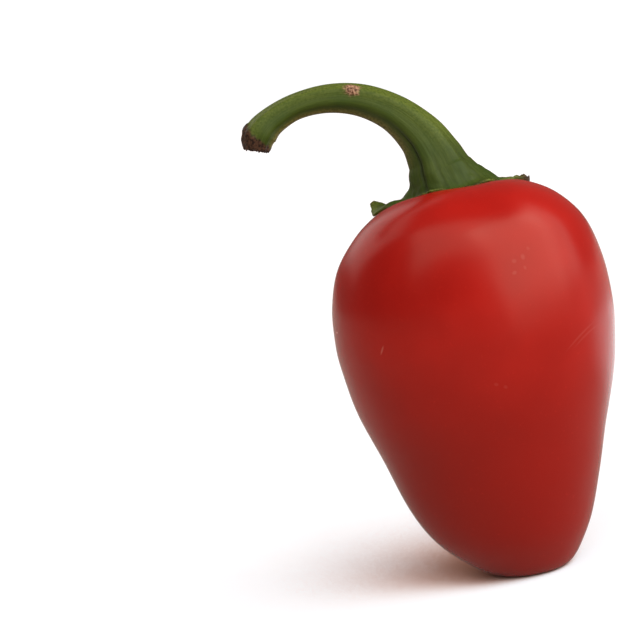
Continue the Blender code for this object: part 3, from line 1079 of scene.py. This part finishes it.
# painted shadow tone: this warm brown shows only where the glow is turned down
painted_shadow_tone = add_node(
    tree,
    "ShaderNodeMix",
    {FACTOR: paper.outputs["Fac"], FIRST: linear("#b58875"), SECOND: linear("#bb8e7b")},
    data_type="RGBA",
)
away = add_node(tree, "ShaderNodeVectorMath", {0: place, 1: LIT_PLACE}, operation="DISTANCE")
lit = add_node(
    tree,
    "ShaderNodeMapRange",
    {"Value": away.outputs["Value"], "From Min": LIT_GONE, "From Max": LIT_FULL},
    interpolation_type="SMOOTHSTEP",
)
# painted pool of light: brighter behind and to the right, for every ray but the camera's
thrown_back_with_painted_pool = add_node(
    tree,
    "ShaderNodeMix",
    {FACTOR: lit.outputs["Result"], FIRST: linear("#c2bdb7"), SECOND: linear("#fafafa")},
    data_type="RGBA",
)
seen = add_node(tree, "ShaderNodeLightPath").outputs["Is Camera Ray"]
painted_light_and_shadow_colour = add_node(
    tree,
    "ShaderNodeMix",
    {FACTOR: seen, FIRST: thrown_back_with_painted_pool.outputs[MIXED], SECOND: painted_shadow_tone.outputs[MIXED]},
    data_type="RGBA",
)
tree.links.new(painted_light_and_shadow_colour.outputs[MIXED], shader.inputs["Base Color"])
shader.inputs["Roughness"].default_value = 0.9
shader.inputs["Specular IOR Level"].default_value = 0.2

# %% [markdown]
# In a photograph a well-lit white sheet is pure white, and only the soft, warm shadow on it has a tone.
# A floor that is lit by the room alone would come out grey all over. So the shadow is painted: what the
# camera sees of the floor is a warm brown tone and a glow that makes it white, and the ambient-occlusion
# node turns the glow down where the pepper hides the side that the light comes from, which shows the
# brown as a painted shadow. The glow also warms as it fades.

# %% Painted shadow on the floor
KEY_AZIMUTH = radians(32)  # from the front towards the right, to the light that casts the shadow
KEY_ELEVATION = radians(22)
SHADOW_REACH = 0.25  # metres over which the pepper can hide the light
OPEN_LEAST = 0.54  # how open a place is to that side where the shadow is full, and where it ends
OPEN_FULL = 0.82
OPEN_SAMPLES = 12
# glow of the painted pool of light, for every ray but the camera's
LIT_GLOW = 0.7

key_side = add_node(
    tree,
    "ShaderNodeCombineXYZ",
    {
        "X": sin(KEY_AZIMUTH) * cos(KEY_ELEVATION),
        "Y": -cos(KEY_AZIMUTH) * cos(KEY_ELEVATION),
        "Z": sin(KEY_ELEVATION),
    },
)
open_to_light = add_node(
    tree,
    "ShaderNodeAmbientOcclusion",
    {"Distance": SHADOW_REACH, "Normal": key_side.outputs["Vector"]},
    samples=OPEN_SAMPLES,
)
unshaded = add_node(
    tree,
    "ShaderNodeMapRange",
    {"Value": open_to_light.outputs["AO"], "From Min": OPEN_LEAST, "From Max": OPEN_FULL},
    interpolation_type="SMOOTHSTEP",
)
lit_glow = add_node(
    tree, "ShaderNodeMath", {0: lit.outputs["Result"], 1: LIT_GLOW}, operation="MULTIPLY"
)
glow = add_node(
    tree,
    "ShaderNodeMix",
    {"Factor": seen, "A": lit_glow.outputs[0], "B": unshaded.outputs["Result"]},
    data_type="FLOAT",
)
# painted shadow colour: warm where the glow is low, bluish where it is full, so the sum is white
glow_colour = add_node(
    tree,
    "ShaderNodeMix",
    {
        FACTOR: unshaded.outputs["Result"],
        FIRST: linear("#d09f8a"),
        SECOND: linear("#cce8f2"),
    },
    data_type="RGBA",
)
tree.links.new(glow_colour.outputs[MIXED], shader.inputs["Emission Color"])
tree.links.new(glow.outputs["Result"], shader.inputs["Emission Strength"])

# %% Lay the floor
FLOOR_RADIUS = 3.0
FLOOR_SIDES = 96
floor_bm = bmesh.new()
bmesh.ops.create_circle(floor_bm, cap_ends=True, segments=FLOOR_SIDES, radius=FLOOR_RADIUS)
floor_mesh = bpy.data.meshes.new("white_floor")
floor_bm.to_mesh(floor_mesh)
floor_bm.free()
floor_mesh.materials.append(floor_material)
floor = bpy.data.objects.new("white_floor", floor_mesh)
scene.collection.objects.link(floor)
print("the floor is", 2 * FLOOR_RADIUS, "m across")

# %% [markdown]
# The highlights speak of large soft lamps: a strong one in front on the right with a smaller one beside
# it, a weaker one high in front, and one behind on the left. Area lights would do, but here they are
# windows in the world round the scene, because the skin mirrors them: each is a soft-edged rectangle
# of directions, and shows on the skin as a satin patch.

# %% Windows of light
WINDOW_EDGE = 10  # degrees over which a window of light fades at its edges

# Windows of light: azimuth from the front towards the right, elevation, half width and half height in
# degrees, and strength
WINDOWS = (
    (50, 25, 27, 27, 3.1),
    (88, 25, 14, 27, 2.0),
    (-14, 48, 32, 25, 1.75),
    (-140, 36, 24, 22, 1.0),
)

world = bpy.data.worlds.new("studio")
world.use_nodes = True
scene.world = world
tree = world.node_tree
direction = add_node(tree, "ShaderNodeTexCoord").outputs["Generated"]
light = 0.0
for azimuth, elevation, half_width, half_height, strength in WINDOWS:
    frame_turn = Matrix.Rotation(radians(azimuth), 3, "Z") @ Matrix.Rotation(-radians(elevation), 3, "X")
    local = add_node(
        tree,
        "ShaderNodeVectorRotate",
        {"Vector": direction, "Rotation": frame_turn.to_euler()},
        rotation_type="EULER_XYZ",
        invert=True,
    )
    ahead = add_node(tree, "ShaderNodeSeparateXYZ", {0: local.outputs["Vector"]})
    sideways = add_node(
        tree, "ShaderNodeVectorMath", {0: local.outputs["Vector"]}, operation="ABSOLUTE"
    )
    offsets = add_node(tree, "ShaderNodeSeparateXYZ", {0: sideways.outputs["Vector"]})
    in_front = add_node(
        tree, "ShaderNodeMath", {0: ahead.outputs["Y"], 1: 0.0}, operation="LESS_THAN"
    )
    window = add_node(
        tree, "ShaderNodeMath", {0: in_front.outputs[0], 1: strength}, operation="MULTIPLY"
    )
    for offset, half in ((offsets.outputs["X"], half_width), (offsets.outputs["Z"], half_height)):
        edge = add_node(
            tree,
            "ShaderNodeMapRange",
            {
                "Value": offset,
                "From Min": sin(radians(half + WINDOW_EDGE / 2)),
                "From Max": sin(radians(half - WINDOW_EDGE / 2)),
            },
            interpolation_type="SMOOTHSTEP",
        )
        window = add_node(
            tree,
            "ShaderNodeMath",
            {0: window.outputs[0], 1: edge.outputs["Result"]},
            operation="MULTIPLY",
        )
    light = add_node(tree, "ShaderNodeMath", {0: light, 1: window.outputs[0]}).outputs[0]
print("the room has", len(WINDOWS), "windows of light")

# %% Dim walls, and plain white for the camera
WALL_LIGHT = 0.2
SEEN_WHITE = 1.05
lamps = add_node(
    tree, "ShaderNodeBackground", {"Color": linear("#fffdf9"), "Strength": light}
)
walls = add_node(
    tree, "ShaderNodeBackground", {"Color": linear("#ffddcd"), "Strength": WALL_LIGHT}
)
room = add_node(tree, "ShaderNodeAddShader", {0: lamps.outputs[0], 1: walls.outputs[0]})
seen = add_node(tree, "ShaderNodeLightPath").outputs["Is Camera Ray"]
white = add_node(tree, "ShaderNodeBackground", {"Color": (1, 1, 1, 1), "Strength": SEEN_WHITE})
shown = add_node(
    tree, "ShaderNodeMixShader", {0: seen, 1: room.outputs[0], 2: white.outputs[0]}
)
tree.links.new(shown.outputs[0], tree.nodes["World Output"].inputs["Surface"])
scene.view_settings.view_transform = "Standard"
scene.view_settings.exposure = 0.0
